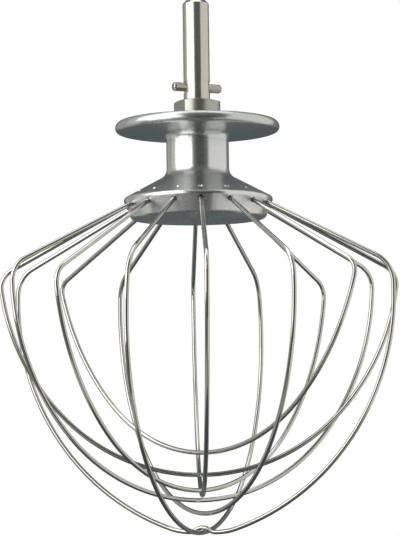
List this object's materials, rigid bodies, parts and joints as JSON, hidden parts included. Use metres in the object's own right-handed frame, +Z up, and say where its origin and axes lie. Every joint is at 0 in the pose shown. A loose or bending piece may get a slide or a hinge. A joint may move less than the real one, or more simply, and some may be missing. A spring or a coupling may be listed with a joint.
{
  "type": "stand mixer wire whisk",
  "caption": "Balloon whisk for a stand mixer: nested steel wire loops set in a turned aluminium hub, on a steel drive shaft with a collar and a cross pin.",
  "frame": {"origin": "on the axis where the shaft's plain drive length begins, just above the cross pin", "axes": "+Z up along the shaft; the first wire loop lies within a degree of the YZ plane"},
  "size_m": [0.1432, 0.1434, 0.1921],
  "materials": {
    "shaft_steel": "fine ground",
    "pin_steel": "ground",
    "hub_aluminium": "fine turned",
    "wire_steel": "bright drawn"
  },
  "bodies": {
    "root": {"shaft": "shaft_steel", "cross_pin": "pin_steel", "hub": "hub_aluminium", "wire_loop_1": "wire_steel", "wire_loop_2": "wire_steel", "wire_loop_3": "wire_steel", "wire_loop_4": "wire_steel", "wire_loop_5": "wire_steel", "wire_loop_6": "wire_steel", "wire_loop_7": "wire_steel", "wire_loop_8": "wire_steel"}
  },
  "joints": []
}
